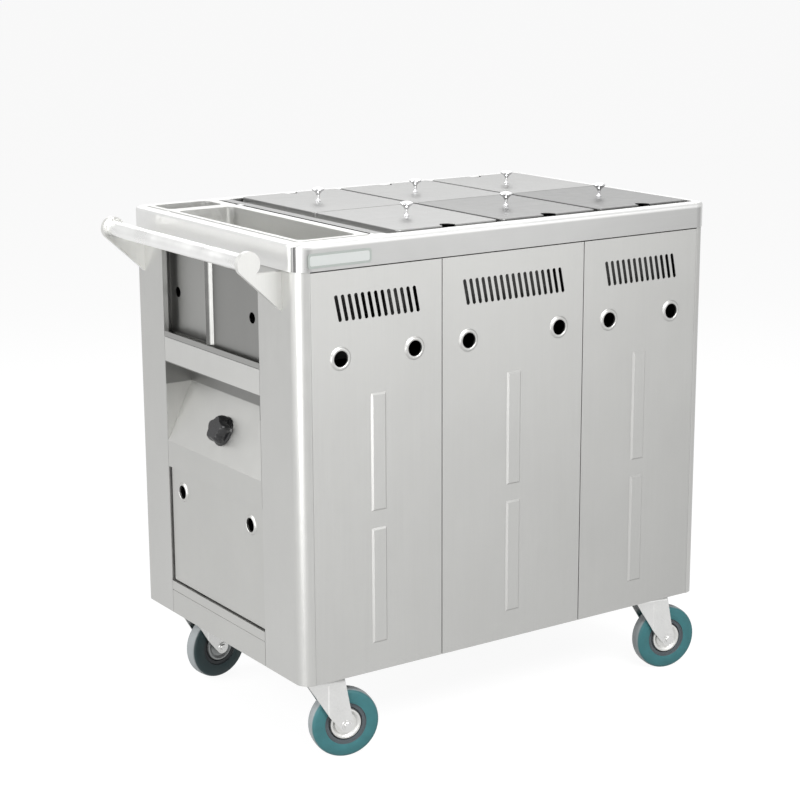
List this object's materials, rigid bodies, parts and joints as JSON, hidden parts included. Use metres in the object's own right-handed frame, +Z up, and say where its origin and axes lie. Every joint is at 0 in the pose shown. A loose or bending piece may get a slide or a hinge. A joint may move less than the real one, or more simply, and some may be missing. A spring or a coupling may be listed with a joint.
{
  "type": "hostess trolley",
  "caption": "Heated stainless-steel hostess trolley: lidded food wells, side bins, vented lift-off panels, push bar and swivel casters.",
  "frame": {"origin": "centre of the bounding box in plan, on the floor under the tyres", "axes": "+Z up; +X along the body away from the push bar; -Y towards the vented front"},
  "size_m": [1.0064, 0.6, 0.961],
  "materials": {
    "steel_body": "brushed",
    "steel_panel": "brushed",
    "steel_deck": "brushed",
    "steel_lid": "brushed",
    "steel_pan": "satin",
    "steel_bar": "polished",
    "element": "satin",
    "knob_chrome": "polished",
    "knob_black": "satin",
    "switch_case": "matte",
    "zinc": "zinc plated",
    "hub_metal": "satin",
    "tyre_rubber": "matte"
  },
  "bodies": {
    "cabinet": {"base_pan": "steel_body", "corner_stile_front": "steel_body", "corner_stile_rear": "steel_body", "right_end_panel": "steel_body", "rear_panel": "steel_body", "header_rail": "steel_body", "front_frame": "steel_body", "top_deck": "steel_deck", "pan_support_grid": "steel_body", "well_tank": "steel_body", "heating_element": "element", "handle_tube": "steel_bar", "handle_cheeks": "steel_body", "middle_rail": "steel_body", "bottom_rail": "steel_body", "door_tracks": "steel_body", "control_panel": "steel_body", "thermostat_body": "switch_case", "compartment_shelf": "steel_body", "inner_bulkhead": "steel_body", "caster_plates": "zinc"},
    "front_panel_left": {"front_panel_left": "steel_panel"},
    "front_panel_middle": {"front_panel_middle": "steel_panel"},
    "front_panel_right": {"front_panel_right": "steel_panel"},
    "sliding_door_front": {"sliding_door_front": "steel_panel"},
    "sliding_door_rear": {"sliding_door_rear": "steel_panel"},
    "lower_door": {"lower_door": "steel_panel"},
    "bin_front": {"bin_front": "steel_pan"},
    "bin_rear": {"bin_rear": "steel_pan"},
    "pan_front_1": {"pan_front_1": "steel_pan"},
    "lid_front_1": {"lid_front_1": "steel_lid", "lid_knob_front_1": "knob_chrome"},
    "pan_front_2": {"pan_front_2": "steel_pan"},
    "lid_front_2": {"lid_front_2": "steel_lid", "lid_knob_front_2": "knob_chrome"},
    "pan_front_3": {"pan_front_3": "steel_pan"},
    "lid_front_3": {"lid_front_3": "steel_lid", "lid_knob_front_3": "knob_chrome"},
    "pan_rear_1": {"pan_rear_1": "steel_pan"},
    "lid_rear_1": {"lid_rear_1": "steel_lid", "lid_knob_rear_1": "knob_chrome"},
    "pan_rear_2": {"pan_rear_2": "steel_pan"},
    "lid_rear_2": {"lid_rear_2": "steel_lid", "lid_knob_rear_2": "knob_chrome"},
    "pan_rear_3": {"pan_rear_3": "steel_pan"},
    "lid_rear_3": {"lid_rear_3": "steel_lid", "lid_knob_rear_3": "knob_chrome"},
    "control_knob": {"control_knob": "knob_black"},
    "fork_front_left": {"fork_front_left": "zinc"},
    "wheel_front_left": {"hub_front_left": "hub_metal", "tyre_front_left": "tyre_rubber"},
    "fork_front_right": {"fork_front_right": "zinc"},
    "wheel_front_right": {"hub_front_right": "hub_metal", "tyre_front_right": "tyre_rubber"},
    "fork_rear_left": {"fork_rear_left": "zinc"},
    "wheel_rear_left": {"hub_rear_left": "hub_metal", "tyre_rear_left": "tyre_rubber"},
    "fork_rear_right": {"fork_rear_right": "zinc"},
    "wheel_rear_right": {"hub_rear_right": "hub_metal", "tyre_rear_right": "tyre_rubber"}
  },
  "joints": [
    {"name": "front_panel_left_pull", "type": "slide", "parent": "cabinet", "child": "front_panel_left", "axis": [0, -1, 0], "range_m": [0, 0.06]},
    {"name": "front_panel_middle_pull", "type": "slide", "parent": "cabinet", "child": "front_panel_middle", "axis": [0, -1, 0], "range_m": [0, 0.06]},
    {"name": "front_panel_right_pull", "type": "slide", "parent": "cabinet", "child": "front_panel_right", "axis": [0, -1, 0], "range_m": [0, 0.06]},
    {"name": "sliding_door_front_slide", "type": "slide", "parent": "cabinet", "child": "sliding_door_front", "axis": [0, 1, 0], "range_m": [0, 0.158]},
    {"name": "sliding_door_rear_slide", "type": "slide", "parent": "cabinet", "child": "sliding_door_rear", "axis": [0, -1, 0], "range_m": [0, 0.185]},
    {"name": "lower_door_pull", "type": "slide", "parent": "cabinet", "child": "lower_door", "axis": [-1, 0, 0], "range_m": [0, 0.06]},
    {"name": "bin_front_lift", "type": "slide", "parent": "cabinet", "child": "bin_front", "axis": [0, 0, 1], "range_m": [0, 0.12]},
    {"name": "bin_rear_lift", "type": "slide", "parent": "cabinet", "child": "bin_rear", "axis": [0, 0, 1], "range_m": [0, 0.12]},
    {"name": "pan_front_1_lift", "type": "slide", "parent": "cabinet", "child": "pan_front_1", "axis": [0, 0, 1], "range_m": [0, 0.18]},
    {"name": "lid_front_1_lift", "type": "slide", "parent": "pan_front_1", "child": "lid_front_1", "axis": [0, 0, 1], "range_m": [0, 0.1]},
    {"name": "pan_front_2_lift", "type": "slide", "parent": "cabinet", "child": "pan_front_2", "axis": [0, 0, 1], "range_m": [0, 0.18]},
    {"name": "lid_front_2_lift", "type": "slide", "parent": "pan_front_2", "child": "lid_front_2", "axis": [0, 0, 1], "range_m": [0, 0.1]},
    {"name": "pan_front_3_lift", "type": "slide", "parent": "cabinet", "child": "pan_front_3", "axis": [0, 0, 1], "range_m": [0, 0.18]},
    {"name": "lid_front_3_lift", "type": "slide", "parent": "pan_front_3", "child": "lid_front_3", "axis": [0, 0, 1], "range_m": [0, 0.1]},
    {"name": "pan_rear_1_lift", "type": "slide", "parent": "cabinet", "child": "pan_rear_1", "axis": [0, 0, 1], "range_m": [0, 0.18]},
    {"name": "lid_rear_1_lift", "type": "slide", "parent": "pan_rear_1", "child": "lid_rear_1", "axis": [0, 0, 1], "range_m": [0, 0.1]},
    {"name": "pan_rear_2_lift", "type": "slide", "parent": "cabinet", "child": "pan_rear_2", "axis": [0, 0, 1], "range_m": [0, 0.18]},
    {"name": "lid_rear_2_lift", "type": "slide", "parent": "pan_rear_2", "child": "lid_rear_2", "axis": [0, 0, 1], "range_m": [0, 0.1]},
    {"name": "pan_rear_3_lift", "type": "slide", "parent": "cabinet", "child": "pan_rear_3", "axis": [0, 0, 1], "range_m": [0, 0.18]},
    {"name": "lid_rear_3_lift", "type": "slide", "parent": "pan_rear_3", "child": "lid_rear_3", "axis": [0, 0, 1], "range_m": [0, 0.1]},
    {"name": "control_knob_turn", "type": "hinge", "parent": "cabinet", "child": "control_knob", "pos_m": [-0.39612, 0.0085, 0.551], "axis": [-0.9009, 0, 0.4339], "range_deg": [-270, 0]},
    {"name": "swivel_front_left", "type": "hinge", "parent": "cabinet", "child": "fork_front_left", "pos_m": [-0.3512, -0.249, 0.1495], "axis": [0, 0, 1], "continuous": true},
    {"name": "roll_front_left", "type": "hinge", "parent": "fork_front_left", "child": "wheel_front_left", "pos_m": [-0.31627, -0.25771, 0.0635], "axis": [0.2419, 0.9703, 0], "continuous": true},
    {"name": "swivel_front_right", "type": "hinge", "parent": "cabinet", "child": "fork_front_right", "pos_m": [0.4038, -0.248, 0.1495], "axis": [0, 0, 1], "continuous": true},
    {"name": "roll_front_right", "type": "hinge", "parent": "fork_front_right", "child": "wheel_front_right", "pos_m": [0.43901, -0.25549, 0.0635], "axis": [0.2079, 0.9781, 0], "continuous": true},
    {"name": "swivel_rear_left", "type": "hinge", "parent": "cabinet", "child": "fork_rear_left", "pos_m": [-0.3512, 0.206, 0.1495], "axis": [0, 0, 1], "continuous": true},
    {"name": "roll_rear_left", "type": "hinge", "parent": "fork_rear_left", "child": "wheel_rear_left", "pos_m": [-0.31555, 0.21101, 0.0635], "axis": [-0.1392, 0.9903, 0], "continuous": true},
    {"name": "swivel_rear_right", "type": "hinge", "parent": "cabinet", "child": "fork_rear_right", "pos_m": [0.4038, 0.206, 0.1495], "axis": [0, 0, 1], "continuous": true},
    {"name": "roll_rear_right", "type": "hinge", "parent": "fork_rear_right", "child": "wheel_rear_right", "pos_m": [0.43953, 0.20161, 0.0635], "axis": [0.1219, 0.9925, 0], "continuous": true}
  ]
}
